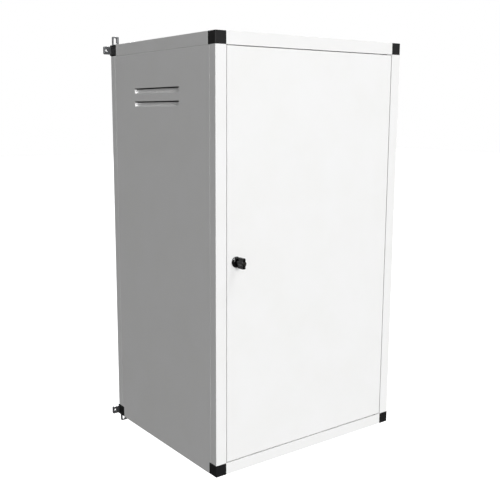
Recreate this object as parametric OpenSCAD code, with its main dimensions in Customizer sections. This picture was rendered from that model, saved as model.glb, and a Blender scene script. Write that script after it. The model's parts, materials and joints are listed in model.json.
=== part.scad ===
// Standpipe cabinet: a framed, wall-hung cabinet with one lockable, right-hinged door.
// The frame is square profile joined by corner connectors, and sheets fill its sides.
// X runs to the right along the front, Y runs towards the wall and Z runs up.
// The origin is the centre of the four wall bolts, on the wall's surface.

/* [Cabinet] */
// Overall width of the frame
body_w = 600; // [560:10:700]
// Overall depth of the frame
body_d = 500; // [460:10:600]
// Overall height of the frame
body_h = 1060; // [900:10:1200]

/* [Frame] */
// Side of the square frame profile
profile = 30; // [28:1:34]
// Wall of the frame profile
profile_wall = 3; // [2.5:0.5:3]
// Corner radius along the outer edges of the profiles and connectors
edge_r = 1.2; // [0.8:0.1:2]
// Length of each connector leg inside its profile
leg_l = 34; // [25:1:40]
// Thickness of the side, back, roof and floor sheets
sheet_t = 1.2; // [1:0.1:1.5]
// How far a sheet laps over its profile
lap = 7; // [5:0.5:8]
// Gap between a sheet's edge and the end of its rebate
sheet_gap = 0.6; // [0.4:0.1:1]

/* [Louvres] */
// Length of each louvre along the side
louvre_l = 216; // [150:1:260]
// Height of the window of each louvre
louvre_h = 14; // [10:0.5:18]
// Open slit above the blade of each louvre
louvre_slit = 3; // [2.5:0.5:6]
// How far the blade is pressed into the cabinet
louvre_depth = 7; // [4:0.5:8]
// Height from one louvre to the next
louvre_pitch = 33.5; // [25:0.5:45]
// Number of louvres on each side
louvre_count = 2; // [1:1:4]
// From the front of the cabinet to the middle of the louvres
louvre_mid = 262; // [220:1:280]
// From the top of the cabinet to the top of the first louvre
louvre_drop = 119; // [80:0.5:200]

/* [Door] */
// Gap between the door and the frame
door_gap = 2; // [1.5:0.5:3]
// Thickness of the door
door_t = 18; // [16:1:18]
// Thickness of the door's sheet
skin_t = 1.5; // [1:0.1:2]
// Width of the folded flange behind the door's free edges
flange_w = 20; // [18:1:24]
// From the hinged edge of the door to the pivot axis
pivot_in = 18; // [17:0.5:20]
// From the front of the door to the pivot axis
pivot_back = 7; // [6.5:0.5:7]
// Diameter of the pivot pins
pin_d = 5; // [4:0.5:5]
// Width and thickness of the door stop bars beyond the frame
stop_in = 14; // [12:1:14]
// Thickness of the door stop bars
stop_t = 2; // [1.5:0.5:3]
// Width of the door seal
seal_w = 10; // [8:1:10]

/* [Lock] */
// From the left side of the cabinet to the lock's axis
lock_in = 58; // [56:1:80]
// From the bottom of the cabinet to the lock's axis
lock_up = 530; // [400:0.5:700]
// Diameter of the rose on the door's front
rose_d = 26.5; // [26:0.5:30]
// Thickness of the rose
rose_t = 7; // [5:0.5:9]
// Diameter of the threaded barrel through the door
barrel_d = 20; // [16:1:20]
// Thickness of the wing across its flat sides
grip_w = 7; // [6:0.5:9]
// Height of the wing
grip_h = 26.5; // [24:0.5:30]
// From the front of the door to the front of the wing
grip_out = 34; // [30:1:38]
// Depth of the wing from front to back
grip_t = 23; // [18:1:24]
// Length of the cam from the lock's axis to its tip
cam_l = 34; // [30:1:36]

/* [Wall lugs] */
// Thickness of the wall lugs
lug_t = 6; // [4:0.5:8]
// Length of the sideways ear beyond the cabinet's side
ear_l = 20; // [18:1:30]
// Height of the sideways ear
ear_h = 21; // [17:1:22]
// From the cabinet's side to the sideways hole
ear_hole_out = 12.5; // [11:0.5:14]
// From the cabinet's top or bottom to the sideways hole
ear_hole_in = 14; // [12:0.5:16]
// Diameter of the hole in the sideways ear
wall_hole_d = 7; // [5:0.5:9]
// Length of the upright ear above the top or below the bottom
tab_l = 23.5; // [23:0.5:32]
// Width of the upright ear
tab_w = 19; // [17:0.5:22]
// From the cabinet's side to the middle of the upright ear
tab_mid = 16.5; // [15:0.5:17.5]
// Width of the slot in the upright ear
slot_w = 9; // [7:0.5:10]
// From the cabinet's side to the middle of the slot
slot_mid = 15; // [14:0.5:16]
// Length of the slot in the upright ear, end to end
slot_l = 19; // [16:1:20]

/* [Standpipe holder] */
// Diameter of the standpipe that the holder takes
pipe_d = 84; // [70:1:90]
// From the back sheet to the standpipe's axis
pipe_back = 90; // [88:1:110]
// Height of the saddle above the bottom of the cabinet
saddle_up = 720; // [600:10:800]
// Height of the saddle's steel strip
saddle_h = 30; // [25:1:40]
// Thickness of the saddle's steel strip
saddle_t = 3; // [2:0.5:4]
// Outer diameter of the foot cup on the floor
cup_d = 116; // [100:1:118]
// Height of the foot cup
cup_h = 28; // [20:1:40]

/* [Hidden] */
$fn = 48;

white = "#f4f4f4";
plastic_black = "#1b1b1c";
zinc = "#b9bcbe";
steel = "#c9cbcc";
rubber = "#202020";

// Planes of the cabinet
half_w = body_w / 2;
half_h = body_h / 2;
back_y = -lug_t;
front_y = back_y - body_d;
inner_w = half_w - profile;
inner_h = half_h - profile;

// Door
door_hw = inner_w - door_gap;
door_hh = inner_h - door_gap;
door_back = front_y + door_t;
pivot_x = door_hw - pivot_in;
pivot_y = front_y + pivot_back;
stop_y = front_y + profile;
seal_clear = 0.3;
seal_edge = 2;
seal_left = -door_hw + seal_edge;
seal_top = door_hh - seal_edge;
hinge_flange_w = 38;
liner_t = 1;
liner_clear = 2;

// Lock
lock_x = -half_w + lock_in;
lock_z = -half_h + lock_up;
barrel_end = front_y + 25;
shaft_d = 10;
run = 0.05;
cam_clear = 0.6;
cam_t = 3;
cam_y = stop_y + stop_t + cam_clear;
plug_d = 8;
plug_l = 16;

// Holder
pipe_y = back_y - sheet_t - pipe_back;
pad_t = 3;
saddle_z = -half_h + saddle_up;
eps = 0.01;

// Distance cut off each corner of the profile's hollow
hollow_cut = 4.2;

// A box between two opposite corners
module slab(lo, hi) {
  translate(lo) cube(hi - lo);
}

// A rod along Y between two depths
module rod_y(x, z, y0, y1, r) {
  translate([x, y0, z]) rotate([-90, 0, 0]) cylinder(h = y1 - y0, r = r);
}

// A rod along Z between two heights
module rod_z(x, y, z0, z1, r) {
  translate([x, y, z0]) cylinder(h = z1 - z0, r = r);
}

// A rectangle with round corners, centred
module round_rect(w, h, r) {
  square([w - 2 * r, h], center = true);
  square([w, h - 2 * r], center = true);
  for (sx = [-1, 1], sy = [-1, 1])
    translate([sx * (w / 2 - r), sy * (h / 2 - r)]) circle(r = r);
}

// A square with one round corner, at the origin
module edge_square(side, r) {
  translate([r, r]) circle(r = r);
  translate([r, 0]) square([side - r, side]);
  translate([0, r]) square([side, side - r]);
}

// The inside of a profile: a square with its corners cut off
module hollow_section(grow = 0) {
  lo = profile_wall - grow;
  hi = profile - lo;
  cut = hollow_cut;
  polygon([[lo + cut, lo], [hi - cut, lo], [hi, lo + cut], [hi, hi - cut],
    [hi - cut, hi], [lo + cut, hi], [lo, hi - cut], [lo, lo + cut]]);
}

// The profile's section. Its outer corner is at the origin, and the first face lies on the
// second axis. A rebate in a face takes the edge of a sheet, and a skimmed face takes it whole.
module profile_section(rebate_a = false, rebate_b = false, skim_a = false) {
  difference() {
    edge_square(profile, edge_r);
    hollow_section();
    if (rebate_a) translate([-eps, profile - lap]) square([sheet_t + eps, lap + eps]);
    if (rebate_b) translate([profile - lap, -eps]) square([lap + eps, sheet_t + eps]);
    if (skim_a) translate([-eps, -eps]) square([sheet_t + eps, profile + 2 * eps]);
  }
}

// Turns what is drawn for the left into the right, the top into the bottom
module to_side(right = false, bottom = false) {
  mirror([right ? 1 : 0, 0, 0]) mirror([0, 0, bottom ? 1 : 0]) children();
}

// ---- Frame profiles ----

module front_post(right = false) {
  color(white) to_side(right) translate([-half_w, front_y, -inner_h])
    linear_extrude(2 * inner_h) profile_section(rebate_a = true);
}

module rear_post(right = false) {
  color(white) to_side(right) translate([-half_w, back_y, -inner_h])
    mirror([0, 1, 0]) linear_extrude(2 * inner_h) profile_section(rebate_a = true, rebate_b = true);
}

// A rail across the front or the back. Its first face is the top, its second the outside.
module cross_rail(rear = false, bottom = false) {
  y0 = rear ? back_y : front_y;
  color(white) to_side(bottom = bottom) translate([-inner_w, y0, half_h])
    mirror([0, rear ? 1 : 0, 0]) rotate([0, 90, 0])
    linear_extrude(2 * inner_w) profile_section(rebate_a = true, rebate_b = rear);
}

// A rail along a side. The lower one is skimmed, because the side sheet runs down over it.
module side_rail(right = false, bottom = false) {
  color(white) to_side(right, bottom) translate([-half_w, back_y - profile, half_h])
    rotate([90, 0, 0]) mirror([0, 1, 0])
    linear_extrude(body_d - 2 * profile) profile_section(rebate_b = true, skim_a = bottom);
}

module pivot_rail(bottom = false) {
  difference() {
    cross_rail(bottom = bottom);
    to_side(bottom = bottom)
      rod_z(pivot_x, pivot_y, inner_h - 1, inner_h + profile_wall + hollow_cut + 1, bush_r);
  }
}

// ---- Corner connectors ----

bush_r = 3.5;
bush_l = 12;

// One leg, pointing along +Z out of the corner block that starts at the origin
module connector_leg() {
  lead = 1.5;
  translate([0, 0, profile - eps]) linear_extrude(leg_l - lead) hollow_section(-0.2);
  translate([0, 0, profile + leg_l - lead - eps]) linear_extrude(lead) hollow_section(-0.8);
}

// A block with rounded outer edges and three legs, for the left, front and bottom corner
module corner_shape() {
  intersection() {
    linear_extrude(profile) edge_square(profile, edge_r);
    mirror([0, 1, 0]) rotate([90, 0, 0]) linear_extrude(profile) edge_square(profile, edge_r);
    rotate([90, 0, 90]) linear_extrude(profile) edge_square(profile, edge_r);
  }
  connector_leg();
  mirror([0, 1, 0]) rotate([90, 0, 0]) connector_leg();
  rotate([90, 0, 90]) connector_leg();
}

module connector(right, rear, top) {
  y0 = rear ? back_y : front_y;
  hinged = right && !rear;
  color(plastic_black) difference() {
    to_side(right, top) translate([-half_w, y0, -half_h]) mirror([0, rear ? 1 : 0, 0]) corner_shape();
    if (hinged) to_side(bottom = !top)
      rod_z(pivot_x, pivot_y, inner_h, inner_h + bush_l + 1, bush_r + 0.1);
    if (rear) to_side(right, !top) rod_y(lug_x, lug_z, back_y - lug_screw_l, back_y + eps, lug_pilot_r);
  }
}

// ---- Sheets ----

// The blade of one louvre and its two end walls. It is drawn at the left side.
module louvre_blade(z_bottom) {
  z_lip = z_bottom + louvre_h - louvre_slit;
  bend = 3;
  translate([-half_w, front_y + louvre_mid + louvre_l / 2, z_bottom]) rotate([90, 0, 0]) {
    linear_extrude(louvre_l) difference() {
      square([louvre_depth + sheet_t, louvre_h - louvre_slit]);
      translate([-eps, bend]) square([louvre_depth + eps, louvre_h]);
      translate([-eps, sheet_t]) square([louvre_depth - bend + eps, bend]);
      translate([louvre_depth - bend, bend + sheet_t / 2]) circle(r = bend);
    }
    for (end = [0, louvre_l - sheet_t])
      translate([0, 0, end]) linear_extrude(sheet_t)
        square([louvre_depth + sheet_t, louvre_h - louvre_slit]);
  }
}

module side_panel(right = false) {
  edge_y = lap - sheet_gap;
  y0 = front_y + profile - edge_y;
  y1 = back_y - profile + edge_y;
  fold = 15;
  color(white) to_side(right) {
    difference() {
      union() {
        slab([-half_w, y0, -inner_h], [-half_w + sheet_t, y1, inner_h]);
        slab([-half_w, front_y + profile, -half_h],
          [-half_w + sheet_t, back_y - profile, -inner_h + eps]);
        slab([-half_w, front_y + profile, inner_h - sheet_t],
          [-half_w + fold, back_y - profile, inner_h]);
      }
      for (i = [0:louvre_count - 1])
        translate([0, 0, -i * louvre_pitch])
          slab([-half_w - 1, front_y + louvre_mid - louvre_l / 2, half_h - louvre_drop - louvre_h],
            [-half_w + sheet_t + 1, front_y + louvre_mid + louvre_l / 2, half_h - louvre_drop]);
    }
    for (i = [0:louvre_count - 1])
      louvre_blade(half_h - louvre_drop - louvre_h - i * louvre_pitch);
  }
}

// A flat sheet that laps over four profiles and is notched round the corner blocks
module lapped_sheet(w, h) {
  edge = lap - sheet_gap;
  linear_extrude(sheet_t) {
    square([w + 2 * edge, h], center = true);
    square([w, h + 2 * edge], center = true);
  }
}

module back_panel() {
  color(white) difference() {
    translate([0, back_y, 0]) rotate([90, 0, 0]) lapped_sheet(2 * inner_w, 2 * inner_h);
    at_saddle_screws() rod_y(0, 0, -1, sheet_t + 1, holder_screw_r);
  }
}

module roof_panel() {
  color(white) translate([0, back_y - body_d / 2, half_h - sheet_t])
    lapped_sheet(2 * inner_w, body_d - 2 * profile);
}

module floor_panel() {
  color(white) difference() {
    mirror([0, 0, 1]) roof_panel();
    at_cup_screws() rod_z(0, 0, -sheet_t - 1, 1, holder_screw_r);
  }
}

// ---- Door stops ----

stop_back_in = 26;

module door_stop_left() {
  color(white) difference() {
    slab([-inner_w - stop_back_in, stop_y, -inner_h + 2],
      [-inner_w + stop_in, stop_y + stop_t, inner_h - 2]);
    stop_holes();
  }
}

// The hinge side's bar is wider, because the seal there has to lie inside the pivot axis
module door_stop_right() {
  color(white) difference() {
    slab([pivot_x - stop_in, stop_y, -inner_h + 2],
      [inner_w + stop_back_in, stop_y + stop_t, inner_h - 2]);
    stop_holes();
  }
}

module door_stop_cross(bottom = false) {
  color(white) difference() {
    to_side(bottom = bottom)
      slab([-inner_w + stop_in + 1, stop_y, inner_h - stop_in],
        [pivot_x - stop_in - 1, stop_y + stop_t, inner_h + stop_back_in]);
    stop_holes();
  }
}

// Where the stop bars are screwed to the frame
stop_screw_z = [for (i = [-2:2]) i * 225];
stop_screw_x = [-180, 0, 180];
stop_screw_r = 2;
stop_head_r = 4;
stop_head_h = 2;

module at_stop_screws() {
  for (z = stop_screw_z, s = [-1, 1]) translate([s * (inner_w + profile / 2), stop_y, z]) children();
  for (x = stop_screw_x, s = [-1, 1]) translate([x, stop_y, s * (inner_h + profile / 2)]) children();
}

module stop_holes() {
  at_stop_screws() rod_y(0, 0, -1, stop_t + 1, stop_screw_r);
}

// A button-head screw with a hexagon socket. Its shank runs from the origin along -Y, and its
// head stands out along +Y.
module button_screw(shank_r, shank_l, head_r, head_h) {
  socket_r = 0.5 * head_r;
  socket_h = 0.55 * head_h;
  rod_y(0, 0, -shank_l, eps, shank_r);
  difference() {
    rotate([-90, 0, 0]) dome(head_r, head_h);
    translate([0, head_h - socket_h, 0]) rotate([-90, 0, 0])
      cylinder(h = socket_h + 1, r = socket_r, $fn = 6);
  }
}

// A shallow cap of a sphere on the ground plane
module dome(rim_r, rise) {
  ball_r = (rim_r * rim_r + rise * rise) / (2 * rise);
  rotate_extrude() intersection() {
    square([rim_r, rise]);
    translate([0, rise - ball_r]) circle(r = ball_r);
  }
}

module stop_screws() {
  color(steel) at_stop_screws() translate([0, stop_t, 0])
    button_screw(stop_screw_r, stop_t + profile_wall - 0.5, stop_head_r, stop_head_h);
}

// ---- Pivots ----

pin_out = 10;
pin_in = 16;
block_w = 24;
block_h = 22;

module pivot_bush(bottom = false) {
  flange_r = 6;
  flange_t = door_gap - 0.4;
  color(plastic_black) to_side(bottom = bottom) difference() {
    union() {
      rod_z(pivot_x, pivot_y, inner_h - flange_t, inner_h, flange_r);
      rod_z(pivot_x, pivot_y, inner_h - flange_t, inner_h + bush_l, bush_r);
    }
    rod_z(pivot_x, pivot_y, inner_h - flange_t - 1, inner_h + bush_l + 1, pin_d / 2 + run);
  }
}

module pivot_block(bottom = false) {
  top = door_hh - skin_t;
  color(zinc) to_side(bottom = bottom) difference() {
    slab([pivot_x - block_w / 2, front_y + skin_t, top - block_h],
      [pivot_x + block_w / 2, door_back - skin_t, top]);
    rod_z(pivot_x, pivot_y, top - pin_in, top + 1, pin_d / 2);
  }
}

module pivot_pin(bottom = false) {
  top = door_hh - skin_t;
  color(steel) to_side(bottom = bottom)
    rod_z(pivot_x, pivot_y, top - pin_in, inner_h + pin_out, pin_d / 2);
}

// ---- Door ----

module door_skin() {
  color(white) difference() {
    slab([-door_hw, front_y, -door_hh], [door_hw, door_back, door_hh]);
    slab([-door_hw + skin_t, front_y + skin_t, -door_hh + skin_t],
      [door_hw - skin_t, door_back - skin_t, door_hh - skin_t]);
    slab([-door_hw + flange_w, front_y + skin_t, -door_hh + flange_w],
      [door_hw - hinge_flange_w, door_back + 1, door_hh - flange_w]);
    rod_y(lock_x, lock_z, front_y - 1, front_y + skin_t + 1, barrel_d / 2);
    rod_y(lock_x, lock_z, front_y + skin_t + 1, door_back + 1, barrel_d / 2 + 1);
    for (s = [-1, 1])
      rod_z(pivot_x, pivot_y, s * door_hh - skin_t - 1, s * door_hh + skin_t + 1, pin_d / 2);
    liner_holes();
  }
}

liner_left = seal_left + seal_w + liner_clear;
liner_right = pivot_x - seal_w - liner_clear;
liner_top = seal_top - seal_w - liner_clear;

module door_liner() {
  color(white) difference() {
    slab([liner_left, door_back, -liner_top], [liner_right, door_back + liner_t, liner_top]);
    rod_y(lock_x, lock_z, door_back - 1, door_back + liner_t + 1, barrel_d / 2 + 1);
    slab([liner_left - 1, door_back - 1, lock_z - barrel_d / 2 - 1],
      [lock_x, door_back + liner_t + 1, lock_z + barrel_d / 2 + 1]);
    liner_holes();
  }
}

rivet_in = 3;
rivet_r = 1.6;
rivet_l = 4.5;
rivet_head_r = 3;
rivet_head_h = 1.2;
rivet_z = [for (i = [-3:3]) i * 150];
rivet_x = [-180, -60, 60, 180];

module at_liner_rivets() {
  for (z = rivet_z, x = [liner_left + rivet_in, liner_right - rivet_in])
    if (x > 0 || abs(z - lock_z) > barrel_d) translate([x, door_back, z]) children();
  for (x = rivet_x, s = [-1, 1]) translate([x, door_back, s * (liner_top - rivet_in)]) children();
}

module liner_holes() {
  at_liner_rivets() rod_y(0, 0, -skin_t - 1, liner_t + 1, rivet_r);
}

module liner_rivets() {
  color(zinc) at_liner_rivets() {
    rod_y(0, 0, -rivet_l, liner_t + eps, rivet_r);
    translate([0, liner_t, 0]) rotate([-90, 0, 0]) dome(rivet_head_r, rivet_head_h);
  }
}

stiffener_x = [-90, 100];

// Two folded channels stiffen the door between the skin and the liner
module door_stiffeners() {
  channel_w = 40;
  fold_t = 1;
  color(white) for (x = stiffener_x)
    difference() {
      slab([x - channel_w / 2, front_y + skin_t, -door_hh + flange_w + 10],
        [x + channel_w / 2, door_back, door_hh - flange_w - 10]);
      slab([x - channel_w / 2 + fold_t, front_y + skin_t + fold_t, -door_hh],
        [x + channel_w / 2 - fold_t, door_back + 1, door_hh]);
    }
}

// A hollow rubber strip round the door, just clear of the stop bars
module door_seal() {
  y0 = door_back;
  y1 = stop_y - seal_clear;
  color(rubber) difference() {
    slab([seal_left, y0, -seal_top], [pivot_x, y1, seal_top]);
    slab([seal_left + seal_w, y0 - 1, -seal_top + seal_w], [pivot_x - seal_w, y1 + 1, seal_top - seal_w]);
  }
}

// ---- Lock ----

// A revolved shape about the lock's axis; its profile is drawn as radius and distance outwards
module on_lock_axis() {
  translate([lock_x, front_y, lock_z]) rotate([90, 0, 0]) rotate_extrude() children();
}

module lock_housing() {
  seat = 1;
  round_r = 4;
  r = rose_d / 2;
  color(plastic_black) difference() {
    union() {
      on_lock_axis() {
        translate([0, seat]) square([r, rose_t - seat - round_r]);
        translate([0, seat]) square([r - round_r, rose_t - seat]);
        translate([r - round_r, rose_t - round_r]) intersection() {
          circle(r = round_r);
          square(round_r);
        }
      }
      rod_y(lock_x, lock_z, front_y - seat - eps, barrel_end, barrel_d / 2);
    }
    rod_y(lock_x, lock_z, front_y - rose_t - 1, barrel_end + 1, shaft_d / 2 + run);
  }
}

module lock_gasket() {
  color(rubber) difference() {
    rod_y(lock_x, lock_z, front_y - 1, front_y, rose_d / 2 - 0.5);
    rod_y(lock_x, lock_z, front_y - 2, front_y + 1, barrel_d / 2);
  }
}

module lock_nut() {
  nut_d = 30;
  nut_t = 5;
  color(zinc) difference() {
    translate([lock_x, front_y + skin_t, lock_z]) rotate([-90, 30, 0])
      cylinder(h = nut_t, d = nut_d, $fn = 6);
    rod_y(lock_x, lock_z, front_y, front_y + skin_t + nut_t + 1, barrel_d / 2);
  }
}

// The flat wing, the hub in its middle and the shaft through the door are one moulding
module wing_knob() {
  hub_r = 6;
  grip_r = 3;
  y_front = front_y - grip_out;
  y_rose = front_y - rose_t;
  color(plastic_black) difference() {
    union() {
      translate([lock_x - grip_w / 2, y_front + grip_t / 2, lock_z]) rotate([90, 0, 90])
        linear_extrude(grip_w) round_rect(grip_t, grip_h, grip_r);
      rod_y(lock_x, lock_z, y_front, y_rose - 0.4, hub_r);
      rod_y(lock_x, lock_z, y_rose - 0.5, cam_y, shaft_d / 2);
      cam_square(cam_y - eps, cam_y + cam_t);
    }
    rod_y(lock_x, lock_z, y_front - 1, y_front + plug_l + 0.5, plug_d / 2 + run);
    rod_y(lock_x, lock_z, cam_y + cam_t - cam_screw_l, cam_y + cam_t + 1, cam_screw_r);
  }
}

// The square end of the shaft that the cam sits on
square_side = 7;

module cam_square(y0, y1) {
  slab([lock_x - square_side / 2, y0, lock_z - square_side / 2],
    [lock_x + square_side / 2, y1, lock_z + square_side / 2]);
}

// The cam hangs down while the lock is open, and swings behind the left stop bar to shut
module lock_cam() {
  cam_w = 18;
  color(zinc) difference() {
    translate([lock_x, cam_y + cam_t, lock_z]) rotate([90, 0, 0]) linear_extrude(cam_t) {
      circle(d = cam_w);
      translate([-cam_w / 2, -cam_l + cam_w / 2]) square([cam_w, cam_l - cam_w / 2]);
      translate([0, -cam_l + cam_w / 2]) circle(d = cam_w);
    }
    cam_square(cam_y - 1, cam_y + cam_t + 1);
  }
}

washer_t = 1.2;
washer_r = 6.5;
cam_screw_r = 2;
cam_screw_l = 10;
cam_head_r = 4.2;
cam_head_h = 3;

module cam_washer() {
  color(steel) difference() {
    rod_y(lock_x, lock_z, cam_y + cam_t, cam_y + cam_t + washer_t, washer_r);
    rod_y(lock_x, lock_z, cam_y + cam_t - 1, cam_y + cam_t + washer_t + 1, cam_screw_r);
  }
}

module cam_screw() {
  color(steel) translate([lock_x, cam_y + cam_t + washer_t, lock_z])
    button_screw(cam_screw_r, cam_screw_l, cam_head_r, cam_head_h);
}

// The metal plug that takes the key, with its keyway
module key_plug() {
  proud = 0.6;
  keyway_w = 1.4;
  keyway_h = 5.2;
  y_front = front_y - grip_out - proud;
  color(zinc) difference() {
    rod_y(lock_x, lock_z, y_front, y_front + plug_l, plug_d / 2);
    slab([lock_x - keyway_w / 2, y_front - 1, lock_z - keyway_h / 2],
      [lock_x + keyway_w / 2, y_front + plug_l - 3, lock_z + keyway_h / 2]);
  }
}

// ---- Wall lugs ----

lug_pad = 28;
lug_x = -half_w + 15;
lug_z = half_h - 15;
lug_screw_l = 16;
lug_pilot_r = 3;
lug_head_h = 3.2;

// The outline of the lug at the top left corner. Its origin is the cabinet's corner, its first
// axis runs outboard and its second runs up.
module lug_outline() {
  fillet_r = 7;
  end_r = 3;
  tab_r = 2;
  difference() {
    union() {
      translate([-lug_pad, -lug_pad]) square([lug_pad, lug_pad]);
      translate([ear_l / 2 - end_r, -ear_hole_in]) round_rect(ear_l + 2 * end_r, ear_h, end_r);
      translate([-tab_mid, tab_l / 2 - tab_r]) round_rect(tab_w, tab_l + 2 * tab_r, tab_r);
      translate([-tab_mid + tab_w / 2 - eps, -ear_hole_in + ear_h / 2 - eps]) difference() {
        square([fillet_r, fillet_r]);
        translate([fillet_r, fillet_r]) circle(r = fillet_r);
      }
    }
    translate([ear_hole_out, -ear_hole_in]) circle(d = wall_hole_d);
    for (v = [-1, 1])
      translate([-slot_mid, slot_v + v * (slot_l - slot_w) / 2]) circle(d = slot_w);
    translate([-slot_mid - slot_w / 2, slot_v - (slot_l - slot_w) / 2])
      square([slot_w, slot_l - slot_w]);
  }
}

// Height of the slot's middle above the cabinet's top
slot_v = 11.5;

module wall_lug(right = false, bottom = false) {
  color(plastic_black) to_side(right, bottom) difference() {
    translate([-half_w, 0, half_h]) rotate([90, 0, 0]) linear_extrude(lug_t)
      mirror([1, 0]) lug_outline();
    rod_y(lug_x, lug_z, -lug_t - 1, 1, lug_pilot_r);
    countersink();
  }
}

// The cone of a countersunk head, its rim just below the wall face
module countersink() {
  rim_r = lug_pilot_r + lug_head_h;
  translate([lug_x, 0, lug_z]) rotate([90, 0, 0]) rotate_extrude()
    polygon([[0, -1], [rim_r, -1], [rim_r, 0], [lug_pilot_r, lug_head_h], [0, lug_head_h]]);
}

module lug_screws() {
  drive_r = 2;
  drive_h = 2.5;
  sink = 0.3;
  rim_r = lug_pilot_r + lug_head_h - sink;
  color(steel) for (right = [false, true], bottom = [false, true]) to_side(right, bottom) difference() {
    union() {
      rod_y(lug_x, lug_z, back_y - lug_screw_l + 1, -lug_head_h + eps, lug_pilot_r);
      translate([lug_x, 0, lug_z]) rotate([90, 0, 0]) rotate_extrude()
        polygon([[0, sink], [rim_r, sink], [lug_pilot_r, lug_head_h], [0, lug_head_h]]);
    }
    translate([lug_x, -drive_h, lug_z]) rotate([-90, 0, 0]) cylinder(h = drive_h + 1, r = drive_r, $fn = 6);
  }
}

// ---- Standpipe holder ----

saddle_half = pipe_d / 2 + pad_t;
saddle_reach = pipe_back + pipe_d / 4;
saddle_plate = 150;
saddle_back = back_y - sheet_t;
cup_base = 4;
holder_screw_r = 2.5;
holder_head_r = 4.5;
holder_head_h = 2.5;

// A plate on the back sheet with two arms that reach round the pipe
module saddle_bracket() {
  color(steel) difference() {
    union() {
      slab([-saddle_plate / 2, saddle_back - saddle_t, saddle_z - saddle_h / 2],
        [saddle_plate / 2, saddle_back, saddle_z + saddle_h / 2]);
      for (s = [0, 1]) mirror([s, 0, 0])
        slab([saddle_half, saddle_back - saddle_reach, saddle_z - saddle_h / 2],
          [saddle_half + saddle_t, saddle_back, saddle_z + saddle_h / 2]);
    }
    at_saddle_screws() rod_y(0, 0, -saddle_t - 1, 1, holder_screw_r);
  }
}

module at_saddle_screws() {
  screw_in = 13;
  for (s = [-1, 1]) translate([s * (saddle_plate / 2 - screw_in), saddle_back, saddle_z]) children();
}

module saddle_pads() {
  color(rubber) for (s = [0, 1]) mirror([s, 0, 0])
    slab([saddle_half - pad_t, saddle_back - saddle_reach, saddle_z - saddle_h / 2],
      [saddle_half, saddle_back - saddle_t - 10, saddle_z + saddle_h / 2]);
}

module saddle_screws() {
  color(steel) at_saddle_screws() translate([0, -saddle_t, 0]) rotate([0, 0, 180])
    button_screw(holder_screw_r, saddle_t + sheet_t, holder_head_r, holder_head_h);
}

// A shallow cup on the floor that the standpipe's foot stands in
module foot_cup() {
  wall = 5;
  floor_z = -half_h + sheet_t;
  color(plastic_black) difference() {
    rod_z(0, pipe_y, floor_z, floor_z + cup_h, cup_d / 2);
    rod_z(0, pipe_y, floor_z + cup_base, floor_z + cup_h + 1, cup_d / 2 - wall);
    at_cup_screws() rod_z(0, 0, -1, cup_base + 1, holder_screw_r);
  }
}

module at_cup_screws() {
  for (turn = [0:120:240]) translate([0, pipe_y, -half_h + sheet_t]) rotate([0, 0, turn])
    translate([0, cup_d / 4, 0]) children();
}

module foot_cup_screws() {
  color(steel) at_cup_screws() translate([0, 0, cup_base]) rotate([90, 0, 0])
    button_screw(holder_screw_r, cup_base + sheet_t, holder_head_r, holder_head_h);
}

// ---- Nodes ----

front_post();  // post_front_left
front_post(right = true);  // post_front_right
rear_post();  // post_rear_left
rear_post(right = true);  // post_rear_right
pivot_rail();  // rail_top_front
cross_rail(rear = true);  // rail_top_rear
side_rail();  // rail_top_left
side_rail(right = true);  // rail_top_right
pivot_rail(bottom = true);  // rail_bottom_front
cross_rail(rear = true, bottom = true);  // rail_bottom_rear
side_rail(bottom = true);  // rail_bottom_left
side_rail(right = true, bottom = true);  // rail_bottom_right
connector(false, false, true);  // connector_top_front_left
connector(true, false, true);  // connector_top_front_right
connector(false, true, true);  // connector_top_rear_left
connector(true, true, true);  // connector_top_rear_right
connector(false, false, false);  // connector_bottom_front_left
connector(true, false, false);  // connector_bottom_front_right
connector(false, true, false);  // connector_bottom_rear_left
connector(true, true, false);  // connector_bottom_rear_right
side_panel();  // side_panel_left
side_panel(right = true);  // side_panel_right
back_panel();
roof_panel();
floor_panel();
door_stop_left();
door_stop_right();
door_stop_cross();  // door_stop_top
door_stop_cross(bottom = true);  // door_stop_bottom
stop_screws();
pivot_bush();  // pivot_bush_top
pivot_bush(bottom = true);  // pivot_bush_bottom
wall_lug();  // wall_lug_top_left
wall_lug(right = true);  // wall_lug_top_right
wall_lug(bottom = true);  // wall_lug_bottom_left
wall_lug(right = true, bottom = true);  // wall_lug_bottom_right
lug_screws();
saddle_bracket();
saddle_pads();
saddle_screws();
foot_cup();
foot_cup_screws();
door_skin();
door_liner();
door_stiffeners();
door_seal();
liner_rivets();
pivot_block();  // pivot_block_top
pivot_block(bottom = true);  // pivot_block_bottom
pivot_pin();  // pivot_pin_top
pivot_pin(bottom = true);  // pivot_pin_bottom
lock_housing();
lock_gasket();
lock_nut();
wing_knob();
lock_cam();
cam_washer();
cam_screw();
key_plug();
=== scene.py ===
# %% [markdown]
# # A standpipe cabinet, finished around its CAD frame
# The cabinet is a cube of aluminium profiles and plastic corner connectors, filled with white
# sheets and shut by one door. The CAD model already has every size, so nothing is measured here:
# each place comes from the box of a CAD part. All lengths are in metres, and MM turns a real
# size in millimetres into metres.

# %% Load the CAD frame
import json
import math

import bmesh
import bpy
from mathutils import Matrix, Vector

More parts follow.
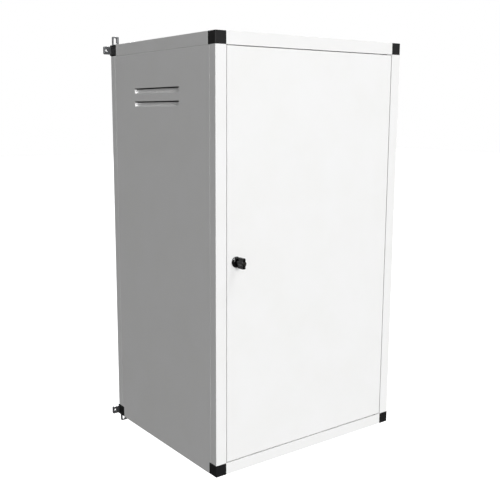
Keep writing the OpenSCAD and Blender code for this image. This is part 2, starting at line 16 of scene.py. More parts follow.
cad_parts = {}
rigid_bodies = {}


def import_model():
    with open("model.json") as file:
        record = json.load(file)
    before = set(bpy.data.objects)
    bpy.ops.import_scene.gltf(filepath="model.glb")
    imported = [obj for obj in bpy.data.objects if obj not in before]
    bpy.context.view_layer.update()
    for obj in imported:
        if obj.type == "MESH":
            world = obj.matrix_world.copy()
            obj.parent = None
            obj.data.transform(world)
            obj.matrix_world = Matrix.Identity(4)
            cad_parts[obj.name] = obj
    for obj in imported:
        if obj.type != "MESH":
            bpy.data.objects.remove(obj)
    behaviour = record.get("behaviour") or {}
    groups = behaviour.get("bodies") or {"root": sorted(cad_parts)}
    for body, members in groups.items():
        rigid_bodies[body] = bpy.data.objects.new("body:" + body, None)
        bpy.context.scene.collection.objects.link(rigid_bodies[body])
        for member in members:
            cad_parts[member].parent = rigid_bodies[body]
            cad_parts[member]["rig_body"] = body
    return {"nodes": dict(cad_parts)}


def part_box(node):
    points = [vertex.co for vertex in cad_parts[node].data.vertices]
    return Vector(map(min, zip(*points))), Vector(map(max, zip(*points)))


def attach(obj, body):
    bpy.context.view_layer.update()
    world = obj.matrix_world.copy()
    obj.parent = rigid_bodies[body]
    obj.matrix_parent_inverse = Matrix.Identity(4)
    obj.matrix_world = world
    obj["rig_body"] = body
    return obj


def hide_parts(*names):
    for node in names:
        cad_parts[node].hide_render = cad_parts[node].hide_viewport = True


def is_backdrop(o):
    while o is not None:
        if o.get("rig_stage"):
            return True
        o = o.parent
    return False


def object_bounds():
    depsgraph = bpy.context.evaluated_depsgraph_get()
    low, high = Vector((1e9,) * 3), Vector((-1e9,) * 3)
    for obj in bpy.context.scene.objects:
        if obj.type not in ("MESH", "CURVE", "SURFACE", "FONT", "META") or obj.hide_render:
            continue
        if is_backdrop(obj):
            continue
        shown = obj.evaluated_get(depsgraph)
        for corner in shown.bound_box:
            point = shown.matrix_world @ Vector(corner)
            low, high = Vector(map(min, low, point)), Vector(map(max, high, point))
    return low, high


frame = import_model()
cad_low, cad_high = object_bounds()
MM = 0.001
print("CAD box in mm:", [round(side / MM) for side in cad_high - cad_low])

# %% [markdown]
# ## The planes of the cabinet
# A few planes are enough to place every piece: the outside of the frame, the front and back of
# the door, and the axis of the lock.

# %% Read the planes from the CAD parts
left_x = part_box("post_front_left")[0].x
front_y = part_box("post_front_left")[0].y
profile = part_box("post_front_left")[1].x - left_x
cabinet_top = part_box("connector_top_front_left")[1].z
door_low, door_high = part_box("door_skin")
knob_low, knob_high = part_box("wing_knob")
lock_low, lock_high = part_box("lock_housing")
lock_x = (lock_low.x + lock_high.x) / 2
lock_z = (lock_low.z + lock_high.z) / 2
print("profile", round(profile / MM, 1), "mm, door", round((door_high.x - door_low.x) / MM), "mm wide")

# %% [markdown]
# ## The camera and the light
# The camera stands in front of the cabinet's left corner, a little above its middle, with a lens
# longer than normal so that the box keeps calm edges. A key light comes from the front, a little
# above the horizon, and just grazes the side that shows, so the front is bright and the side is
# an even grey. A weaker one from above lights the roof. A softbox to the upper left gives the
# small black parts their highlights, and a low light behind keeps the back readable from other
# angles. A sun lamp could be sharp; a wide angle makes its shadows soft.

# %% Place the camera
camera_place = Vector((-1.2973, -1.9336, 0.3483))
camera_turn = 35.72
camera_dip = 9.51

camera_data = bpy.data.cameras.new("studio_camera")
camera_data.lens = 55.0
camera_data.shift_x = 0.0478
camera_data.shift_y = -0.0185
camera = bpy.data.objects.new("studio_camera", camera_data)
camera.location = camera_place
camera.rotation_euler = (math.radians(90 - camera_dip), 0, math.radians(-camera_turn))
bpy.context.scene.collection.objects.link(camera)
bpy.context.scene.camera = camera
bpy.context.scene.view_settings.view_transform = "Standard"
bpy.context.scene.view_settings.look = "None"
print("camera", round((camera_place - (cad_low + cad_high) / 2).length, 2), "m from the cabinet's middle")


# %% Place the lights
def lamp(name, kind, towards, power, **settings):
    """A light that comes from the given direction."""
    data = bpy.data.lights.new(name, kind)
    data.energy = power
    for key, value in settings.items():
        setattr(data, key, value)
    made = bpy.data.objects.new(name, data)
    made.rotation_euler = Vector(towards).to_track_quat("Z", "Y").to_euler()
    bpy.context.scene.collection.objects.link(made)
    return made


lamp("key_light", "SUN", (-0.158, -0.97, 0.18), 2.34, angle=math.radians(20))
lamp("top_light", "SUN", (0.28, -0.36, 0.89), 0.9, angle=math.radians(24))
lamp("back_light", "SUN", (0.45, 0.86, 0.24), 1.4, angle=math.radians(14))

# The softbox looks at the cabinet's middle and shows only as a highlight
softbox_place = Vector((-1.54, -1.1, 1.9))
softbox = lamp("highlight_softbox", "AREA", softbox_place - (cad_low + cad_high) / 2, 260, size=0.8)
softbox.location = softbox_place
softbox.visible_diffuse = False


# %% [markdown]
# ## One small function for shader nodes
# Every finish is a little tree of shader nodes. One function adds a node, sets its settings and
# joins its inputs, so that each tree reads from top to bottom.

# %% A node with its settings and links
def add(tree, kind, inputs=(), **settings):
    """Adds a node. inputs maps a socket to a value, or to the output that feeds it."""
    made = tree.nodes.new(kind)
    for name, value in settings.items():
        setattr(made, name, value)
    for socket, value in dict(inputs).items():
        if isinstance(value, bpy.types.NodeSocket):
            tree.links.new(value, made.inputs[socket])
        else:
            made.inputs[socket].default_value = value
    return made


def linear(hex_colour):
    """An sRGB hex colour as linear RGBA."""
    channels = [int(hex_colour[i:i + 2], 16) / 255 for i in (1, 3, 5)]
    return [c / 12.92 if c <= 0.04045 else ((c + 0.055) / 1.055) ** 2.4 for c in channels] + [1.0]


# %% [markdown]
# ## The room: an even white surround and a pale floor
# The surround shows as plain white, but lights the cabinet more gently than it looks. Without
# that, the shaded side would be as bright as the front. Shiny parts see a dim room with one
# bright panel to the front right, which gives black plastic and metal their shape. The floor
# looks pale and takes a soft shadow, yet throws little light back up.

# %% Light the surround
world = bpy.data.worlds.new("studio")
world.use_nodes = True
bpy.context.scene.world = world
tree = world.node_tree
tree.nodes.clear()
path = add(tree, "ShaderNodeLightPath")
seen = add(tree, "ShaderNodeBackground", {"Color": (1, 1, 1, 1), "Strength": 1.0})
fill = add(tree, "ShaderNodeBackground", {"Color": (1, 1, 1, 1), "Strength": 0.23})
way = add(tree, "ShaderNodeTexCoord").outputs["Generated"]
panel = add(tree, "ShaderNodeVectorMath", {0: way, 1: (0.45, -0.84, 0.32)}, operation="DOT_PRODUCT")
glow = add(tree, "ShaderNodeMapRange", {"Value": panel.outputs["Value"], "From Min": 0.72, "From Max": 0.92,
                                        "To Min": 0.07, "To Max": 1.5}, interpolation_type="SMOOTHSTEP")
shine = add(tree, "ShaderNodeBackground", {"Color": (1, 1, 1, 1), "Strength": glow.outputs[0]})
lit = add(tree, "ShaderNodeMixShader", {0: path.outputs["Is Glossy Ray"], 1: fill.outputs[0],
                                        2: shine.outputs[0]})
both = add(tree, "ShaderNodeMixShader", {0: path.outputs["Is Camera Ray"], 1: lit.outputs[0],
                                         2: seen.outputs[0]})
add(tree, "ShaderNodeOutputWorld", {"Surface": both.outputs[0]})

# %% Lay the floor
floor_drop = 1.0
floor_half = 30.0
floor_z = cad_low.z - floor_drop
floor_mesh = bpy.data.meshes.new("floor")
floor_mesh.from_pydata([(x, y, floor_z) for x, y in ((-floor_half, -floor_half), (floor_half, -floor_half),
                                                     (floor_half, floor_half), (-floor_half, floor_half))],
                       [], [(0, 1, 2, 3)])
floor = bpy.data.objects.new("floor", floor_mesh)
bpy.context.scene.collection.objects.link(floor)
floor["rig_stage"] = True

studio_floor = bpy.data.materials.new("painted studio floor")
studio_floor.use_nodes = True
tree = studio_floor.node_tree
tree.nodes.clear()
path = add(tree, "ShaderNodeLightPath")
paint = add(tree, "ShaderNodeBsdfDiffuse", {"Color": linear("#e6e6e6")})
lift = add(tree, "ShaderNodeEmission", {"Color": (1, 1, 1, 1), "Strength": 0.72})
bright = add(tree, "ShaderNodeAddShader", {0: paint.outputs[0], 1: lift.outputs[0]})
bounce = add(tree, "ShaderNodeBsdfDiffuse", {"Color": linear("#8a8a8a")})
both = add(tree, "ShaderNodeMixShader", {0: path.outputs["Is Camera Ray"], 1: bounce.outputs[0],
                                         2: bright.outputs[0]})
add(tree, "ShaderNodeOutputMaterial", {"Surface": both.outputs[0]})
floor_mesh.materials.append(studio_floor)
print("floor", floor_drop, "m below the cabinet")


# %% [markdown]
# ## Finishes: powder coat
# The profiles, sheets and door are coated with white polyester powder. It is sprayed on dry and
# melted in an oven, where it flows into a skin about 0.08 mm thick that is never quite flat.
# That gives the eye three things: a satin shine, a fine orange peel that breaks reflections up,
# and a tone that drifts a little where the coat is thinner. The real ripple is 1 to 2 mm wide
# and too fine to show from here, so it is drawn 3 mm wide.
# A painted picture of the surface could give the same, but noise on the object's own
# coordinates has no seams and its grain keeps its real size on every piece.

# %% Start a finish
def finish(name, **sockets):
    """A material with one surface shader. Returns it with its tree, shader and coordinates."""
    material = bpy.data.materials.new(name)
    material.use_nodes = True
    tree = material.node_tree
    tree.nodes.clear()
    values = {key.replace("_", " "): value for key, value in sockets.items()}
    surface = add(tree, "ShaderNodeBsdfPrincipled", values)
    add(tree, "ShaderNodeOutputMaterial", {"Surface": surface.outputs[0]})
    place = add(tree, "ShaderNodeTexCoord").outputs["Object"]
    return material, tree, surface, place


def noise(tree, place, size, detail):
    """Noise from 0 to 1 whose patches have the given size in metres."""
    return add(tree, "ShaderNodeTexNoise", {"Vector": place, "Scale": 1 / size,
                                            "Detail": detail}).outputs["Fac"]


def vary(tree, place, size, low, high):
    """A value that drifts between low and high over patches of the given size in metres."""
    return add(tree, "ShaderNodeMapRange", {"Value": noise(tree, place, size, 3.0), "From Min": 0.3,
                                            "From Max": 0.7, "To Min": low, "To Max": high}).outputs[0]


def cover(tree, surface, amount, first, second, height, depth, strength):
    """Colours a surface between two hex colours by an amount from 0 to 1, and bumps it by a height
    times a depth in metres."""
    blend = add(tree, "ShaderNodeMix", {"Factor": amount, "A": linear(first), "B": linear(second)},
                data_type="RGBA")
    bump = add(tree, "ShaderNodeBump", {"Height": height, "Distance": depth, "Strength": strength})
    tree.links.new(blend.outputs[2], surface.inputs["Base Color"])
    tree.links.new(bump.outputs[0], surface.inputs["Normal"])


# %% White polyester powder coat
def powder_coat(name, thin, thick, shift):
    """White powder coat. shift moves the pattern, so that two pieces don't repeat each other."""
    material, tree, surface, place = finish(name, IOR=1.5)
    moved = add(tree, "ShaderNodeMapping", {"Vector": place, "Location": (shift, shift, 0)}).outputs[0]
    satin = vary(tree, moved, 35 * MM, 0.40, 0.47)
    tree.links.new(satin, surface.inputs["Roughness"])
    peel = noise(tree, moved, 3 * MM, 1.0)
    cover(tree, surface, vary(tree, moved, 90 * MM, 0, 1), thin, thick, peel, 0.05 * MM, 0.30)
    return material


powder_on_profile = powder_coat("powder coat on aluminium profile", "#f1f1f0", "#f3f3f3", 0.0)
powder_on_sheet = powder_coat("powder coat on steel sheet", "#f0f0ef", "#f2f2f2", 0.7)
powder_on_door = powder_coat("powder coat on the door", "#f1f1f0", "#f3f3f3", 1.9)


# %% [markdown]
# ## Finishes: plastics and rubber
# The corner connectors are injection-moulded polyamide with a spark-eroded texture, which looks
# matt and slightly grainy. The lock is glass-filled polyamide from a polished mould, so it is
# nearly as glossy as piano lacquer. The seal is EPDM rubber: almost no shine, with a faint grey
# bloom.

# %% Moulded plastics
def moulded(name, first, second, roughness, grain, depth, ior=1.53, specular=0.5):
    """Injection-moulded plastic. grain is the size of the mould's texture and depth its relief."""
    material, tree, surface, place = finish(name, IOR=ior, Specular_IOR_Level=specular)
    tree.links.new(vary(tree, place, 6 * MM, roughness - 0.05, roughness + 0.05),
                   surface.inputs["Roughness"])
    texture = noise(tree, place, grain, 2.0)
    cover(tree, surface, vary(tree, place, 12 * MM, 0, 1), first, second, texture, depth, 0.5)
    return material


# The spark-eroded grain is about 0.1 mm; it is drawn 0.8 mm wide to show at all
textured_polyamide = moulded("spark-eroded black polyamide", "#0e0e0f", "#141415", 0.50, 0.8 * MM, 0.06 * MM,
                             specular=0.16)
# A polished mould leaves only faint flow waves a few millimetres long
polished_polyamide = moulded("polished black polyamide", "#050506", "#080809", 0.16, 5 * MM, 0.02 * MM,
                             specular=0.2)
# The bushes and the foot cup are plain satin polyamide with fine machining from the mould
satin_polyamide = moulded("satin black polyamide", "#131314", "#1a1a1b", 0.36, 1.2 * MM, 0.04 * MM)
# EPDM has an open, dull skin with a little grey bloom
epdm_rubber = moulded("EPDM rubber", "#17181a", "#232426", 0.82, 1.0 * MM, 0.08 * MM, 1.48)


# %% [markdown]
# ## Finishes: metals
# The wall lugs are zinc castings that were blackened like gunmetal. The film is so thin that the
# metal shines through: grey where a light is mirrored and black elsewhere. Small steel parts
# are zinc plated: a cool grey with cloudy patches. The screws are plain stainless steel and the
# key plug is brass under black nickel, turned on a lathe, which leaves rings about its axis.
# Metals keep the default index of refraction, because their colour comes from the base colour.

# %% Blackened zinc casting
def blackened_casting(name):
    """The pebbles of a die casting, blackened like gunmetal so that the metal still shines through."""
    material, tree, surface, place = finish(name, Metallic=0.85)
    tree.links.new(vary(tree, place, 5 * MM, 0.26, 0.38), surface.inputs["Roughness"])
    pebbles = add(tree, "ShaderNodeTexVoronoi", {"Vector": place, "Scale": 1 / (1.6 * MM)},
                  feature="SMOOTH_F1")
    cover(tree, surface, vary(tree, place, 9 * MM, 0, 1), "#626365", "#6c6d6f",
          pebbles.outputs["Distance"], 0.10 * MM, 0.35)
    return material


# %% Plated and plain metal
def metal(name, first, second, smooth, rough, cloud):
    """Bare or plated metal. cloud is the size of the patches in its tone and its shine."""
    material, tree, surface, place = finish(name, Metallic=1.0)
    tree.links.new(vary(tree, place, cloud * 0.6, smooth, rough), surface.inputs["Roughness"])
    scratches = noise(tree, place, 0.5 * MM, 4.0)
    cover(tree, surface, vary(tree, place, cloud, 0, 1), first, second, scratches, 0.01 * MM, 0.5)
    return material


black_casting = blackened_casting("blackened zinc casting")
# Clear-passivated zinc plate is bluish and cloudy where the bath moved
zinc_plate = metal("zinc-plated steel", "#b4b9be", "#c6c9cb", 0.28, 0.42, 7 * MM)
# Cold-headed stainless screws shine softly
stainless = metal("stainless steel", "#bdbfc1", "#cccdce", 0.20, 0.30, 3 * MM)


# %% Black-nickel-plated key plug
def turned_nickel(name, ring):
    """Turned metal: fine rings about the lock's axis, ring metres apart."""
    material, tree, surface, place = finish(name, Metallic=1.0, Roughness=0.22)
    centred = add(tree, "ShaderNodeMapping", {"Vector": place, "Location": (-lock_x, 0, -lock_z)}).outputs[0]
    flat = add(tree, "ShaderNodeVectorMath", {0: centred, 1: (1, 0, 1)}, operation="MULTIPLY").outputs[0]
    away = add(tree, "ShaderNodeVectorMath", {0: flat}, operation="LENGTH").outputs["Value"]
    turns = add(tree, "ShaderNodeMath", {0: away, 1: math.tau / ring}, operation="MULTIPLY").outputs[0]
    wave = add(tree, "ShaderNodeMath", {0: turns}, operation="SINE").outputs[0]
    cover(tree, surface, vary(tree, place, 3 * MM, 0, 1), "#5f5c58", "#6c6964", wave, 0.01 * MM, 0.6)
    return material


# Turning marks are about 0.1 mm apart; 0.4 mm is the finest that shows
nickel = turned_nickel("black-nickel-plated brass", 0.4 * MM)
print(len(bpy.data.materials), "materials")


# %% [markdown]
# ## Softening the edges of CAD parts
# A CAD edge has no width, so it never catches the light. Real edges do: a cut profile has a
# small burr-free chamfer and a thick coat, and a moulding has a radius. Most parts already have
# the right shape, so each is copied, its triangles are joined into clean faces, and its sharp
# edges are rounded by a Bevel modifier. Weighted normals then keep the flats flat. The CAD part
# itself stays untouched and is only hidden.

# %% Turn a shape or modifiers into a plain mesh
def smooth_mesh(name, shape):
    """Turns an edited shape into a mesh with smooth shading."""
    mesh = bpy.data.meshes.new(name)
    shape.to_mesh(mesh)
    shape.free()
    mesh.polygons.foreach_set("use_smooth", [True] * len(mesh.polygons))
    return mesh


def plain_mesh(name, mesh, *modifiers):
    """Applies modifiers, given as (kind, settings), and returns the finished mesh."""
    worker = bpy.data.objects.new(name + "_worker", mesh)
    bpy.context.scene.collection.objects.link(worker)
    for kind, settings in modifiers:
        modifier = worker.modifiers.new(kind, kind)
        for key, value in settings.items():
            setattr(modifier, key, value)
    bpy.context.view_layer.update()
    graph = bpy.context.evaluated_depsgraph_get()
    made = bpy.data.meshes.new_from_object(worker.evaluated_get(graph), depsgraph=graph)
    bpy.data.objects.remove(worker)
    made.name = name
    return made


# %% Put a finished piece on its body
def place(name, mesh, material, slot, node, *others):
    """Links a mesh as a piece that stands for its CAD nodes and moves with their body."""
    mesh.materials.clear()
    mesh.materials.append(material)
    mesh.polygons.foreach_set("material_index", [0] * len(mesh.polygons))
    piece = bpy.data.objects.new(name, mesh)
    bpy.context.scene.collection.objects.link(piece)
    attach(piece, frame["nodes"][node]["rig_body"])
    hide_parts(node, *others)
    return piece


# %% Copy and soften one CAD part
def clean_copy(node, whole=True):
    """A CAD node's mesh, merged. Its triangles are joined into whole flats, or only into pairs
    where the part has holes through its flats."""
    shape = bmesh.new()
    shape.from_mesh(frame["nodes"][node].data)
    bmesh.ops.remove_doubles(shape, verts=shape.verts, dist=0.002 * MM)
    if whole:
        bmesh.ops.dissolve_limit(shape, angle_limit=math.radians(0.5), verts=shape.verts,
                                 edges=shape.edges, delimit=set())
    else:
        bmesh.ops.join_triangles(shape, faces=shape.faces, angle_face_threshold=math.radians(0.5),
                                 angle_shape_threshold=math.radians(180))
    return smooth_mesh(node + "_copy", shape)


def rounded_edges(radius, steps=2, angle=35):
    """A Bevel for every edge sharper than the angle."""
    return ("BEVEL", dict(width=radius, segments=steps, limit_method="ANGLE",
                          angle_limit=math.radians(angle), use_clamp_overlap=False))


# The largest face at each point sets the normal there, so that flats stay flat
weigh = ("WEIGHTED_NORMAL", dict(weight=100, keep_sharp=True))


def soften(node, radius, material, slot, steps=2, angle=35, whole=True):
    """Rounds the sharp edges of a copy of a CAD part."""
    start = clean_copy(node, whole)
    mesh = plain_mesh(node + "_finished", start, rounded_edges(radius, steps, angle), weigh)
    return place(node + "_finished", mesh, material, slot, node)


# %% [markdown]
# ## Profiles, connectors and flat sheets
# The posts and rails are extruded, so their long edges already carry the die's radius, and a
# 0.3 mm softening is enough. The connectors are moulded in one piece with their legs and get
# 0.6 mm. The flat sheets are laser cut, deburred and coated, which leaves 0.25 mm.

# %% Finish the frame
profiles = [name for name in frame["nodes"] if name.startswith(("post_", "rail_"))]
for name in profiles:
    soften(name, 0.3 * MM, powder_on_profile, "white_profile")

connectors = [name for name in frame["nodes"] if name.startswith("connector_")]
for name in connectors:
    soften(name, 0.6 * MM, textured_polyamide, "corner_plastic", steps=3, whole=False)

flat_sheets = ["back_panel", "roof_panel", "floor_panel",
               "door_stop_left", "door_stop_right", "door_stop_top", "door_stop_bottom"]
for name in flat_sheets:
    soften(name, 0.25 * MM, powder_on_sheet, "white_sheet")
print(len(profiles), "profiles,", len(connectors), "connectors,", len(flat_sheets), "flat sheets")

# %% [markdown]
# ## The louvred side sheets
# Each side is one steel sheet. A press cuts it along the top of a louvre and draws the steel
# below the cut inwards, so a slit stays open for air while rain and dirt run off. The drawn
# steel bends smoothly at the bottom and at both ends, which a box cut from boxes never shows.
# So the sheet is a grid whose points are pushed inwards by two curves, one up the louvre and one
# along it. A Solidify modifier then gives the steel its real thickness, cut edges included.

# %% Measure the side sheet
side_low, side_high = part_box("side_panel_left")
sheet_t = 1.2 * MM
cabinet_bottom = side_low.z
fold_z = side_high.z
louvre_l = 216 * MM
louvre_h = 14 * MM
louvre_slit = 3 * MM
louvre_depth = 7 * MM
louvre_pitch = 33.5 * MM
louvre_count = 2
fold_r = 2 * MM
edge_gap = 0.5 * MM
louvre_top = cabinet_top - 119 * MM
louvre_mid = front_y + 262 * MM
louvre_y0 = louvre_mid - louvre_l / 2
louvre_y1 = louvre_y0 + louvre_l
print("first louvre at", round(louvre_top / MM, 1), "mm, sheet folds at", round(fold_z / MM, 1), "mm")


# %% The two curves of a louvre
def drawn_bend(length, depth, radius, steps=4):
    """A sheet that bends inwards, falls steeply and bends back: (along, depth) from 0 to length.
    The bends are quarter rounds, and the points lie in order."""
    quarter = [math.pi / 2 * i / steps for i in range(steps + 1)]
    slack = length - 2 * radius
    into = [(radius * math.sin(a), radius * (1 - math.cos(a))) for a in quarter]
    out = [(radius + slack + radius * (1 - math.cos(a)), depth - radius + radius * math.sin(a))
           for a in quarter]
    return into + out


def louvre_rows():
    """Every row of the sheet from bottom to top as (height, how far a louvre reaches, open above)."""
    bend = drawn_bend(length=3.4 * MM, depth=louvre_depth, radius=1.5 * MM)
    rows = [(cabinet_bottom, 0, False), (-fold_z - sheet_t / 2, 0, False)]
    for number in reversed(range(louvre_count)):
        top = louvre_top - number * louvre_pitch
        foot = top - louvre_h
        rows += [(foot + along, depth, False) for along, depth in bend]
        rows.append((top - louvre_slit, louvre_depth, True))
        rows.append((top, 0, False))
    rows.append((fold_z - fold_r, 0, False))
    return rows


def louvre_columns():
    """Every column of the sheet from front to back as (place, share of the louvre's depth)."""
    bend = drawn_bend(length=2.6 * MM, depth=louvre_depth, radius=1.2 * MM)
    front_end = [(louvre_y0 + along, depth / louvre_depth) for along, depth in bend]
    rear_end = [(louvre_y1 - along, depth / louvre_depth) for along, depth in reversed(bend)]
    flap_front = front_y + profile
    flap_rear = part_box("post_rear_left")[0].y
    return ([(side_low.y + edge_gap, 0), (flap_front, 0)] + front_end + rear_end
            + [(flap_rear, 0), (side_high.y - edge_gap, 0)])


# %% Press the sheet
def side_sheet(mirrored):
    """The sheet's outer face with its louvres, the fold at its top and the flap at its foot."""
    rows = louvre_rows()
    columns = louvre_columns()
    last = len(columns) - 1
    shape = bmesh.new()
    grid = [[shape.verts.new((left_x + depth * share, y, z)) for y, share in columns]
            for z, depth, _ in rows]
    for i in range(len(rows) - 1):
        for j in range(last):
            foot_corner = rows[i + 1][0] < -fold_z + sheet_t and j in (0, last - 1)
            slit = rows[i][2] and columns[j][1] + columns[j + 1][1] > 0
            if not foot_corner and not slit:
                shape.faces.new((grid[i][j + 1], grid[i][j], grid[i + 1][j], grid[i + 1][j + 1]))
    turned = [(fold_r * (1 - math.cos(a)), fold_r * (math.sin(a) - 1))
              for a in (math.pi / 2 * i / 4 for i in range(1, 5))]
    turned.append((side_high.x - side_low.x, 0))
    for inwards, up in turned:
        grid.append([shape.verts.new((left_x + inwards, y, fold_z + up)) for y, _ in columns])
        for j in range(1, last - 1):
            shape.faces.new((grid[-2][j + 1], grid[-2][j], grid[-1][j], grid[-1][j + 1]))
    loose = [v for v in shape.verts if not v.link_faces]
    bmesh.ops.delete(shape, geom=loose, context="VERTS")
    if mirrored:
        bmesh.ops.scale(shape, vec=(-1, 1, 1), verts=shape.verts)
        bmesh.ops.reverse_faces(shape, faces=shape.faces)
    return smooth_mesh("pressed_sheet", shape)


thicken = ("SOLIDIFY", dict(thickness=sheet_t, offset=-1.0, use_even_offset=True))
for side, mirrored in (("left", False), ("right", True)):
    mesh = plain_mesh(f"louvred_sheet_{side}", side_sheet(mirrored), thicken)
    mesh.set_sharp_from_angle(angle=math.radians(50))
    mesh = plain_mesh(f"louvred_sheet_{side}", mesh, weigh)
    place(f"louvred_sheet_{side}", mesh, powder_on_sheet, "white_sheet", f"side_panel_{side}")
    print("louvred sheet", side, len(mesh.polygons), "faces")

# %% [markdown]
# ## The door
# The door is a shallow tray: a 1.5 mm sheet folded back on all four sides and folded in again
# behind. A folded edge is rounder than a cut one, so its front edges get a 1.2 mm radius before
# everything else is softened. The liner, which closes the tray from behind, is a flat sheet.

# %% Fold the door's edges
def is_front_edge(edge):
    """True for the four long edges round the front of the door and the four at its corners."""
    a, b = (v.co for v in edge.verts)
    at_side = all(min(abs(p.x - door_low.x), abs(p.x - door_high.x)) < 0.1 * MM for p in (a, b))
    at_end = all(min(abs(p.z - door_low.z), abs(p.z - door_high.z)) < 0.1 * MM for p in (a, b))
    at_front = all(abs(p.y - door_low.y) < 0.1 * MM for p in (a, b))
    return (at_side and at_end) or (at_front and (at_side or at_end))


shape = bmesh.new()
shape.from_mesh(clean_copy("door_skin"))
folded = [edge for edge in shape.edges if is_front_edge(edge)]
fold_edge_r = 1.2 * MM
bmesh.ops.bevel(shape, geom=folded, offset=fold_edge_r, segments=5, profile=0.5, affect="EDGES",
                clamp_overlap=False)
print(len(folded), "folded edges on the door")
tray = smooth_mesh("folded_tray", shape)
door_tray = plain_mesh("door_tray", tray, rounded_edges(0.25 * MM), weigh)
place("door_tray", door_tray, powder_on_door, "door_sheet", "door_skin")
soften("door_liner", 0.2 * MM, powder_on_door, "door_sheet")
soften("door_stiffeners", 0.25 * MM, powder_on_door, "door_sheet")


# %% [markdown]
# ## A helper for turned and moulded shapes
# Knobs, screws and nuts are stacks of rings: circles, hexagons or rounded rectangles, each at
# its own height. With the same number of points in every ring, two neighbours always join into
# clean quads, whatever their outlines are. Revolving a curve would only give round shapes, and
# this also makes the square end of the shaft and the hexagon of the nut.

# %% Rings and the loft between them
RING = 48


def angles():
    """The directions of a ring's points."""
    return [math.tau * (i + 0.5) / RING for i in range(RING)]


def ring_at(height, reach):
    """A ring at a height. reach gives its radius in each direction."""
    return [(reach(a) * math.cos(a), reach(a) * math.sin(a), height) for a in angles()]


def circle(radius, height):
    """A round ring. A radius of 0 closes the shape at a pole."""
    return ring_at(height, lambda a: radius)


def hexagon(across_flats, height, largest=1.0):
    """A hexagonal ring whose corners reach no further than largest, which makes a chamfer."""
    half = across_flats / 2
    return ring_at(height, lambda a: min(half / math.cos((a % (math.tau / 6)) - math.tau / 12), largest))


def rounded(half_w, half_h, corner, height):
    """A rectangle with round corners, a quarter of the points on each."""
    ring = []
    for k, (sx, sy) in enumerate(((1, 1), (-1, 1), (-1, -1), (1, -1))):
        for i in range(RING // 4):
            a = math.pi / 2 * (k + (i + 0.5) / (RING // 4))
            ring.append((sx * (half_w - corner) + corner * math.cos(a),
                         sy * (half_h - corner) + corner * math.sin(a), height))
    return ring


def loft(name, rings, matrix, ring_shaped=False, crease=40):
    """Joins rings into one closed solid and puts it in place. ring_shaped joins the last ring to
    the first, for a solid with a bore."""
    shape = bmesh.new()
    points = [[shape.verts.new(p) for p in ring] for ring in rings]
    pairs = list(zip(points, points[1:]))
    if ring_shaped:
        pairs.append((points[-1], points[0]))
    for low, high in pairs:
        for i in range(RING):
            shape.faces.new((low[i], low[(i + 1) % RING], high[(i + 1) % RING], high[i]))
    bmesh.ops.remove_doubles(shape, verts=shape.verts, dist=0.001 * MM)
    bmesh.ops.recalc_face_normals(shape, faces=shape.faces)
    shape.transform(matrix)
    mesh = smooth_mesh(name, shape)
    mesh.set_sharp_from_angle(angle=math.radians(crease))
    return mesh


def arc(centre, height, radius, start, end, steps=6):
    """Radius and height along an arc, in degrees from the outward direction."""
    turns = [math.radians(start + (end - start) * i / steps) for i in range(steps + 1)]
    return [(centre + radius * math.cos(a), height + radius * math.sin(a)) for a in turns]


# %% [markdown]
# ## The lock
# The lock is a quarter-turn cam lock. A rose sits on a rubber gasket in front of the door, and a
# threaded barrel passes through the door and is held by a nut. The wing is one moulding with its
# hub and its shaft, and a metal key plug shows in the hub. Behind the door the shaft ends in a
# square that carries the cam. All of it lies on one axis, so it is drawn on that axis, with
# height meaning the distance in front of the door.

# %% Rose and threaded barrel
lock_place = Matrix.Translation((lock_x, front_y, lock_z)) @ Matrix.Rotation(math.radians(90), 4, "X")
rose_r = (lock_high.x - lock_low.x) / 2
rose_t = front_y - lock_low.y
barrel_r = 10 * MM
barrel_end = front_y - lock_high.y
gasket_t = 1 * MM
shaft_r = 5 * MM
bore_r = shaft_r + 0.05 * MM
thread_pitch = 1.5 * MM
thread_depth = 0.5 * MM


def thread_ring(height):
    """A ring of a screw thread: the crest climbs one pitch in each turn."""
    def reach(a):
        turn = (height / thread_pitch - a / math.tau) % 1
        return barrel_r - thread_depth * abs(2 * turn - 1)
    return ring_at(height, reach)


ring_step = thread_pitch / 6
thread_count = int((-1.5 * MM - barrel_end) / ring_step)
rose_rings = [circle(bore_r, barrel_end), circle(barrel_r - thread_depth, barrel_end)]
rose_rings += [thread_ring(barrel_end + (i + 1) * ring_step) for i in range(thread_count - 1)]
rose_rings += [circle(barrel_r, -1.2 * MM), circle(barrel_r, gasket_t), circle(rose_r - 0.3 * MM, gasket_t)]
rose_rings += [circle(rose_r, gasket_t + 0.3 * MM)]
flat_r = 7.6 * MM
rim_h = 2.2 * MM
rose_rings += [circle(flat_r + (rose_r - flat_r) * across, rim_h + (rose_t - rim_h) * up)
               for across, up in arc(0, 0, 1, 0, 90, 12)]
rose_rings += [circle(flat_r - 0.4 * MM, rose_t - 0.5 * MM)]
rose_rings += [circle(bore_r, rose_t - 0.5 * MM)]
rose = loft("lock_rose", rose_rings, lock_place, ring_shaped=True)
place("lock_rose", rose, polished_polyamide, "lock_plastic", "lock_housing")
print("rose and barrel:", thread_count, "thread rings,", len(rose.polygons), "faces")

# %% Wing knob with its hub, shaft and square end
wing_h = (knob_high.z - knob_low.z) / 2
hub_r = (knob_high.x - knob_low.x) / 2
wing_w = 3.5 * MM
wing_depth = 23 * MM
wing_out = front_y - knob_low.y
wing_back = wing_out - wing_depth
square_in = front_y - knob_high.y
square_w = 3.5 * MM
square_corner = 0.4 * MM
cam_face = front_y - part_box("lock_cam")[0].y
plug_bore_r = 4.05 * MM
plug_bore_end = wing_out - 16.4 * MM
corner_r = 3 * MM
edge_r = 1.2 * MM
hub_edge_r = 0.8 * MM


def drawn_in(radius, depth):
    """How far a round edge stands back at a depth below the face that it leads to."""
    return radius - math.sqrt(radius ** 2 - max(radius - depth, 0) ** 2)


